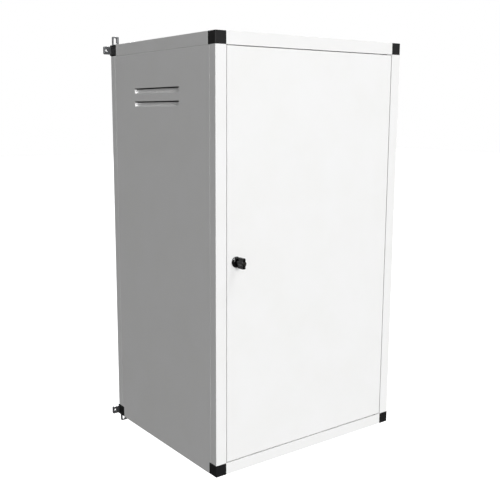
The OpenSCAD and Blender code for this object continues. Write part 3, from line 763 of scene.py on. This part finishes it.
def wing_ring(depth, height, hub):
    """The outline of the flat wing and its hub, at a depth below the front or the rear face."""
    side = wing_w - drawn_in(edge_r, depth)
    end = wing_h - drawn_in(corner_r, depth) - edge_r
    meet = math.acos(side / hub)
    turns = [meet * (k + 0.5) / 5.5 for k in range(5)]
    quarter = [(hub * math.cos(turn), hub * math.sin(turn)) for turn in turns]
    quarter += [(side, hub * math.sin(meet) * (1 - k) + end * k) for k in (0.03, 0.5, 0.95)]
    for k in range(4):
        turn = math.radians(11.25 + 22.5 * k)
        quarter.append((side - edge_r * (1 - math.cos(turn)), end + edge_r * math.sin(turn)))
    ring = []
    for k, (sx, sy) in enumerate(((1, 1), (-1, 1), (-1, -1), (1, -1))):
        ring += [(sx * x, sy * y, height) for x, y in (quarter if k % 2 == 0 else quarter[::-1])]
    return ring


knob_rings = [circle(0, plug_bore_end), circle(plug_bore_r, plug_bore_end),
              circle(plug_bore_r, wing_out - 0.6 * MM), circle(plug_bore_r + 0.45 * MM, wing_out - 0.1 * MM)]
depths = [0, 0.1 * MM, 0.35 * MM, 0.8 * MM, 1.2 * MM, 2.0 * MM, corner_r]
knob_rings += [wing_ring(depth, wing_out - depth, hub_r - drawn_in(hub_edge_r, depth)) for depth in depths]
knob_rings += [wing_ring(depth, wing_back + depth, hub_r) for depth in reversed(depths)]
knob_rings += [circle(hub_r, wing_back - 0.8 * MM), circle(hub_r, rose_t + 0.4 * MM)]
knob_rings += [circle(shaft_r, rose_t + 0.4 * MM)]
knob_rings += [circle(shaft_r, cam_face + 0.4 * MM), circle(shaft_r - 0.3 * MM, cam_face)]
knob_rings += [rounded(square_w, square_w, square_corner, height) for height in (cam_face, square_in)]
knob_rings += [circle(0, square_in)]
knob = plain_mesh("wing_knob_moulded", loft("wing_knob_rings", knob_rings, lock_place), weigh)
place("wing_knob_moulded", knob, polished_polyamide, "lock_plastic", "wing_knob")
print("wing", round(2 * wing_h / MM, 1), "mm high,", round(wing_out / MM, 1), "mm out,",
      len(knob.polygons), "faces")

# %% Gasket, nut, cam, washer, screw and key plug
gasket_r = rose_r - 0.5 * MM
gasket_rings = [circle(barrel_r, 0), circle(gasket_r - 0.2 * MM, 0), circle(gasket_r, 0.3 * MM),
                circle(gasket_r, 0.8 * MM), circle(gasket_r - 0.2 * MM, gasket_t), circle(barrel_r, gasket_t)]
gasket = loft("lock_gasket_ring", gasket_rings, lock_place, ring_shaped=True)
place("lock_gasket_ring", gasket, epdm_rubber, "seal_rubber", "lock_gasket")

nut_low, nut_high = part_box("lock_nut")
nut_in, nut_out = front_y - nut_high.y, front_y - nut_low.y
nut_flats = min(nut_high.x - nut_low.x, nut_high.z - nut_low.z)
chamfer = [(0, 0), (0.4, 0.9), (0.9, 2.2)]
nut_rings = [circle(barrel_r, nut_in)]
nut_rings += [hexagon(nut_flats, nut_in + up * MM, nut_flats / 2 + out * MM) for up, out in chamfer]
nut_rings += [hexagon(nut_flats, nut_out - up * MM, nut_flats / 2 + out * MM)
              for up, out in reversed(chamfer)]
nut_rings += [circle(barrel_r, nut_out)]
nut = loft("lock_nut_chamfered", nut_rings, lock_place, ring_shaped=True, crease=25)
place("lock_nut_chamfered", nut, zinc_plate, "zinc_plate", "lock_nut")

soften("lock_cam", 0.4 * MM, zinc_plate, "zinc_plate", steps=3)
soften("cam_washer", 0.15 * MM, stainless, "screw_steel")
soften("key_plug", 0.2 * MM, nickel, "key_metal")
print("nut", round(nut_flats / MM), "mm across flats")

# %% [markdown]
# ## Wall lugs, pivots and the standpipe's holder
# The lugs are cast in one piece with a sideways ear and an upright ear, and a casting has a
# generous 0.8 mm radius on its sharp edges. The pivot blocks are plated steel, the pins stainless
# steel, and their bushes are polyamide. Inside, a steel saddle with rubber pads holds the standpipe
# upright, and a moulded cup takes its foot.

# %% Finish the castings and the small steel parts
for name in [node for node in frame["nodes"] if node.startswith("wall_lug_")]:
    soften(name, 0.8 * MM, black_casting, "lug_metal", steps=3, angle=50)
for part, radius, material, slot in (("block", 0.4 * MM, zinc_plate, "zinc_plate"),
                                     ("pin", 0.4 * MM, stainless, "screw_steel"),
                                     ("bush", 0.2 * MM, satin_polyamide, "nylon")):
    for end in ("top", "bottom"):
        soften(f"pivot_{part}_{end}", radius, material, slot)
soften("saddle_bracket", 0.4 * MM, stainless, "screw_steel", steps=3)
soften("saddle_pads", 0.6 * MM, epdm_rubber, "seal_rubber", steps=3)

# %% Mould the foot cup
cup_low, cup_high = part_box("foot_cup")
cup_r = (cup_high.x - cup_low.x) / 2
cup_h = cup_high.z - cup_low.z
cup_wall = 5 * MM
cup_base = 4 * MM
cup_place = Matrix.Translation(((cup_low.x + cup_high.x) / 2, (cup_low.y + cup_high.y) / 2, cup_low.z))
cup_rings = [circle(0, 0), circle(cup_r - 1 * MM, 0), circle(cup_r, 1 * MM)]
cup_rings += [circle(r, h) for r, h in arc(cup_r - 1.5 * MM, cup_h - 1.5 * MM, 1.5 * MM, 0, 90, 4)]
inner_r = cup_r - cup_wall
cup_rings += [circle(inner_r + 1.5 * MM, cup_h), circle(inner_r, cup_h - 2.5 * MM)]
cup_rings += [circle(inner_r, cup_base + 3 * MM), circle(inner_r - 0.9 * MM, cup_base + 0.9 * MM)]
cup_rings += [circle(inner_r - 3 * MM, cup_base)]
groove_count = 3
for k in range(groove_count):
    groove_r = inner_r * (0.86 - 0.12 * k)
    cup_rings += [circle(groove_r, cup_base), circle(groove_r - 0.8 * MM, cup_base - 1 * MM),
                  circle(groove_r - 2.4 * MM, cup_base - 1 * MM), circle(groove_r - 3.2 * MM, cup_base)]
cup_rings += [circle(0, cup_base)]
cup = loft("foot_cup_moulded", cup_rings, cup_place, crease=35)
place("foot_cup_moulded", cup, satin_polyamide, "nylon", "foot_cup")
print("foot cup", round(2 * cup_r / MM), "mm across with", groove_count, "grooves")

# %% [markdown]
# ## The door seal
# The seal is an extruded strip with a flat foot that is glued to the door and a hollow bulb that
# is squeezed against the stop bars. It runs once round the door with a small bend at each
# corner. Its section is the same all the way, so it is a section swept along a path, which is
# what Geometry Nodes do best: the path is a rounded rectangle, and the sizes are named inputs.

# %% Build the node tree of the seal
def new_group(name, **inputs):
    """An empty Geometry Nodes tree whose inputs are given by kind, as Kind=(names)."""
    group = bpy.data.node_groups.new(name, "GeometryNodeTree")
    group.interface.new_socket("Geometry", in_out="INPUT", socket_type="NodeSocketGeometry")
    for kind, labels in inputs.items():
        for label in labels:
            group.interface.new_socket(label, in_out="INPUT", socket_type="NodeSocket" + kind)
    group.interface.new_socket("Geometry", in_out="OUTPUT", socket_type="NodeSocketGeometry")
    given = add(group, "NodeGroupInput")
    return group, given


seal_tree, given = new_group("sealing strip", Material=("Finish",),
                             Float=("Width", "Height", "Corner", "Foot width", "Foot height", "Bulb",
                                    "Bulb height"))
route = add(seal_tree, "GeometryNodeCurvePrimitiveQuadrilateral",
            {"Width": given.outputs["Width"], "Height": given.outputs["Height"]})
bent = add(seal_tree, "GeometryNodeFilletCurve",
           {"Curve": route.outputs[0], "Radius": given.outputs["Corner"], "Count": 6, "Limit Radius": True},
           mode="POLY")
foot = add(seal_tree, "GeometryNodeCurvePrimitiveQuadrilateral",
           {"Width": given.outputs["Foot width"], "Height": given.outputs["Foot height"]})
half_foot = add(seal_tree, "ShaderNodeMath", {0: given.outputs["Foot height"], 1: 0.5}, operation="MULTIPLY")
foot_up = add(seal_tree, "ShaderNodeCombineXYZ", {"Y": half_foot.outputs[0]})
foot_placed = add(seal_tree, "GeometryNodeTransform", {"Geometry": foot.outputs[0],
                                                       "Translation": foot_up.outputs[0]})
bulb = add(seal_tree, "GeometryNodeCurvePrimitiveCircle", {"Resolution": 20, "Radius": given.outputs["Bulb"]},
           mode="RADIUS")
bulb_up = add(seal_tree, "ShaderNodeCombineXYZ", {"Y": given.outputs["Bulb height"]})
bulb_placed = add(seal_tree, "GeometryNodeTransform", {"Geometry": bulb.outputs[0],
                                                       "Translation": bulb_up.outputs[0]})
section = add(seal_tree, "GeometryNodeJoinGeometry")
for part in (foot_placed, bulb_placed):
    seal_tree.links.new(part.outputs[0], section.inputs[0])
swept = add(seal_tree, "GeometryNodeCurveToMesh", {"Curve": bent.outputs[0],
                                                   "Profile Curve": section.outputs[0]})
smooth = add(seal_tree, "GeometryNodeSetShadeSmooth", {"Geometry": swept.outputs[0], "Shade Smooth": True})
real = add(seal_tree, "GeometryNodeRealizeInstances", {"Geometry": smooth.outputs[0]})
painted = add(seal_tree, "GeometryNodeSetMaterial", {"Geometry": real.outputs[0],
                                                     "Material": given.outputs["Finish"]})
add(seal_tree, "NodeGroupOutput", {0: painted.outputs[0]})


# %% Run a tree and keep its mesh
def grow(name, group, start, **values):
    """Runs a Geometry Nodes tree on a mesh and returns the result as a plain mesh."""
    worker = bpy.data.objects.new(name + "_worker", start)
    bpy.context.scene.collection.objects.link(worker)
    modifier = worker.modifiers.new("grow", "NODES")
    modifier.node_group = group
    sockets = {item.name: item.identifier for item in group.interface.items_tree
               if item.in_out == "INPUT"}
    for label, value in values.items():
        modifier[sockets[label.replace("_", " ")]] = value
    graph = bpy.context.evaluated_depsgraph_get()
    made = bpy.data.meshes.new_from_object(worker.evaluated_get(graph), depsgraph=graph)
    worker.modifiers.remove(modifier)
    bpy.data.objects.remove(worker)
    made.name = name
    return made


# %% Sweep the seal round the door
seal_low, seal_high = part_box("door_seal")
seal_w = 10 * MM
seal_h = seal_high.y - seal_low.y
bulb_r = 4.4 * MM
strip = grow("door_seal_strip", seal_tree, bpy.data.meshes.new("nothing"),
             Width=seal_high.x - seal_low.x - seal_w, Height=seal_high.z - seal_low.z - seal_w,
             Corner=9 * MM, Foot_width=seal_w - 0.4 * MM, Foot_height=3 * MM, Bulb=bulb_r,
             Bulb_height=seal_h - bulb_r, Finish=epdm_rubber)
upright = Matrix.Translation(((seal_low.x + seal_high.x) / 2, seal_low.y, (seal_low.z + seal_high.z) / 2))
strip.transform(upright @ Matrix.Rotation(math.radians(-90), 4, "X"))
low_y = min(v.co.y for v in strip.vertices)
high_y = max(v.co.y for v in strip.vertices)
print("seal from", round((low_y - seal_low.y) / MM, 2), "to", round((high_y - seal_low.y) / MM, 2), "mm")
shape = bmesh.new()
shape.from_mesh(strip)
bmesh.ops.recalc_face_normals(shape, faces=shape.faces)
shape.to_mesh(strip)
shape.free()
strip.set_sharp_from_angle(angle=math.radians(40))
place("door_seal_strip", strip, epdm_rubber, "seal_rubber", "door_seal")

# %% [markdown]
# ## Screws and rivets
# Fasteners repeat, so one of each kind is made and Geometry Nodes set it at every place. The
# places are loose points, each with the direction that its head faces. No fitter stops every
# socket at the same angle, so a seeded random turn about its own axis is given to each one.

# %% One screw and one rivet
UP = Matrix.Identity(4)


def socket_screw(name, shank_r, shank_l, head_r, head_h):
    """A button-head screw: its head stands on the ground plane and its shank goes down."""
    socket = 1.1 * head_r
    deep = 0.45 * head_h
    rise = [(r, h) for r, h in arc(0, 0, 1, 0, 60, 5)]
    rings = [circle(0, deep), hexagon(socket, deep), hexagon(socket, head_h * 0.97)]
    rings += [circle(r * head_r, h * head_h / math.sin(math.radians(60))) for r, h in reversed(rise)]
    rings += [circle(head_r * 0.97, 0), circle(shank_r, 0), circle(shank_r, -shank_l + 0.6 * MM)]
    rings += [circle(shank_r - 0.5 * MM, -shank_l), circle(0, -shank_l)]
    return loft(name, rings, UP)


def dome_rivet(name, shank_r, shank_l, head_r, head_h):
    """A blind rivet: a low dome with the end of its mandrel in the middle."""
    pin = 0.7 * MM
    rings = [circle(0, head_h * 0.75), circle(pin, head_h * 0.75), circle(pin, head_h * 0.98)]
    rings += [circle(head_r * 0.5, head_h * 0.88), circle(head_r * 0.8, head_h * 0.55),
              circle(head_r, head_h * 0.15), circle(head_r, 0), circle(shank_r, 0),
              circle(shank_r, -shank_l), circle(0, -shank_l)]
    return loft(name, rings, UP)


def flat_screw(name, shank_r, shank_l, head_r, head_h):
    """A countersunk screw: its head's rim lies on the ground plane and all of it goes down."""
    socket = 4 * MM
    rings = [circle(0, -2.4 * MM), hexagon(socket, -2.4 * MM), hexagon(socket, -0.02 * MM),
             circle(head_r - 0.3 * MM, 0), circle(head_r, -0.3 * MM), circle(shank_r, -head_h),
             circle(shank_r, -shank_l), circle(0, -shank_l - 0.5 * MM)]
    return loft(name, rings, UP)


# %% Build the node tree that sets fasteners
fastener_tree, given = new_group("set fasteners", Object=("Kind",), Int=("Turn seed",),
                                 Float=("Largest turn",), Material=("Finish",))
facing = add(fastener_tree, "GeometryNodeInputNamedAttribute", {"Name": "facing"}, data_type="FLOAT_VECTOR")
aimed = add(fastener_tree, "FunctionNodeAlignRotationToVector", {"Vector": facing.outputs[0]}, axis="Z")
turn = add(fastener_tree, "FunctionNodeRandomValue", {2: 0.0, 3: given.outputs["Largest turn"],
                                                      "Seed": given.outputs["Turn seed"]}, data_type="FLOAT")
about = add(fastener_tree, "ShaderNodeCombineXYZ", {"Z": turn.outputs[1]})
turned = add(fastener_tree, "FunctionNodeRotateRotation", {"Rotation": aimed.outputs[0],
                                                           "Rotate By": about.outputs[0]},
             rotation_space="LOCAL")
kind = add(fastener_tree, "GeometryNodeObjectInfo", {"Object": given.outputs["Kind"]})
dots = add(fastener_tree, "GeometryNodeMeshToPoints", {"Mesh": given.outputs["Geometry"]})
copies = add(fastener_tree, "GeometryNodeInstanceOnPoints", {"Points": dots.outputs[0],
                                                             "Instance": kind.outputs["Geometry"],
                                                             "Rotation": turned.outputs[0]})
real = add(fastener_tree, "GeometryNodeRealizeInstances", {"Geometry": copies.outputs[0]})
painted = add(fastener_tree, "GeometryNodeSetMaterial", {"Geometry": real.outputs[0],
                                                         "Material": given.outputs["Finish"]})
add(fastener_tree, "NodeGroupOutput", {0: painted.outputs[0]})


def set_fasteners(name, fastener, places, seed, material, slot, node):
    """Sets a fastener at each (point, direction) and joins them into one piece."""
    dots = bpy.data.meshes.new(name + "_places")
    dots.from_pydata([point for point, _ in places], [], [])
    directions = dots.attributes.new("facing", "FLOAT_VECTOR", "POINT")
    directions.data.foreach_set("vector", [c for _, direction in places for c in direction])
    sample = bpy.data.objects.new(name + "_sample", fastener)
    bpy.context.scene.collection.objects.link(sample)
    mesh = grow(name, fastener_tree, dots, Kind=sample, Turn_seed=seed, Largest_turn=math.tau / 6,
                Finish=material)
    bpy.data.objects.remove(sample)
    print(name, len(places), "pieces,", len(mesh.polygons), "faces")
    return place(name, mesh, material, slot, node)


# %% Set the screws of the stop bars
TO_FRONT, TO_BACK = (0, -1, 0), (0, 1, 0)
stop_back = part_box("door_stop_left")[1].y
post_mid = -left_x - profile / 2
rail_mid = cabinet_top - profile / 2
stop_pitch = 225 * MM
stop_places = [((side * post_mid, stop_back, k * stop_pitch), TO_BACK)
               for side in (-1, 1) for k in range(-2, 3)]
stop_places += [((x * MM, stop_back, side * rail_mid), TO_BACK) for side in (-1, 1) for x in (-180, 0, 180)]
stop_screw = socket_screw("stop_screw", 2 * MM, 4.5 * MM, 4 * MM, 2 * MM)
set_fasteners("stop_bar_screws", stop_screw, stop_places, 3, stainless, "screw_steel", "stop_screws")

# %% Set the rivets of the liner
liner_low, liner_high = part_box("door_liner")
rivet_in = 3 * MM
rivet_pitch = 150 * MM
clear_of_lock = 20 * MM
rivet_places = []
for x in (liner_low.x + rivet_in, liner_high.x - rivet_in):
    for k in range(-3, 4):
        z = k * rivet_pitch
        if x > 0 or abs(z - lock_z) > clear_of_lock:
            rivet_places.append(((x, liner_high.y, z), TO_BACK))
for z in (liner_low.z + rivet_in, liner_high.z - rivet_in):
    rivet_places += [((x * MM, liner_high.y, z), TO_BACK) for x in (-180, -60, 60, 180)]
rivet = dome_rivet("liner_rivet", 1.6 * MM, 5.5 * MM, 3 * MM, 1.2 * MM)
set_fasteners("liner_blind_rivets", rivet, rivet_places, 5, zinc_plate, "zinc_plate", "liner_rivets")

# %% Set the screws of the lugs, the saddle and the foot cup
lug_in = 15 * MM
lug_sunk = 0.3 * MM
lug_places = [((sx * (-left_x - lug_in), -lug_sunk, sz * (cabinet_top - lug_in)), TO_BACK)
              for sx in (-1, 1) for sz in (-1, 1)]
lug_screw = flat_screw("lug_screw", 3 * MM, 20.5 * MM, 5.9 * MM, 3.2 * MM)
set_fasteners("lug_countersunk_screws", lug_screw, lug_places, 7, stainless, "screw_steel", "lug_screws")

saddle_low, saddle_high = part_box("saddle_bracket")
saddle_z = (saddle_low.z + saddle_high.z) / 2
saddle_t = 3 * MM
saddle_in = 13 * MM
saddle_places = [((side * (saddle_high.x - saddle_in), saddle_high.y - saddle_t, saddle_z), TO_FRONT)
                 for side in (-1, 1)]
holder_screw = socket_screw("holder_screw", 2.5 * MM, 4.2 * MM, 4.5 * MM, 2.5 * MM)
set_fasteners("saddle_button_screws", holder_screw, saddle_places, 11, stainless, "screw_steel",
              "saddle_screws")

cup_middle = (cup_low + cup_high) / 2
cup_places = []
for k in range(3):
    turn = math.tau * k / 3 + math.pi / 2
    cup_places.append(((cup_middle.x + cup_r / 2 * math.cos(turn), cup_middle.y + cup_r / 2 * math.sin(turn),
                        cup_low.z + cup_base), (0, 0, 1)))
cup_screw = socket_screw("cup_screw", 2.5 * MM, 5.2 * MM, 4.5 * MM, 2.5 * MM)
set_fasteners("cup_button_screws", cup_screw, cup_places, 13, stainless, "screw_steel", "foot_cup_screws")

cam_head_h = 3 * MM
cam_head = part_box("cam_screw")[1].y - cam_head_h
cam_screw = socket_screw("cam_screw_sample", 2 * MM, 10 * MM, 4.2 * MM, cam_head_h)
set_fasteners("cam_button_screw", cam_screw, [((lock_x, cam_head, lock_z), TO_BACK)], 17, stainless,
              "screw_steel", "cam_screw")

# %% [markdown]
# ## Close the lesson
# Everything that shows is now a finished piece. The two boxes, the CAD's and the finished
# model's, are compared, and how far the finish reaches past the CAD box is printed.

# %% Compare the boxes and finish
low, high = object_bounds()
grown = [*(cad_low - low), *(high - cad_high)]
print("grown by, in mm:", [round(v / MM, 2) for v in grown])
still_cad = sorted(n for n, o in frame["nodes"].items() if not o.hide_render)
print("CAD parts still showing:", still_cad)
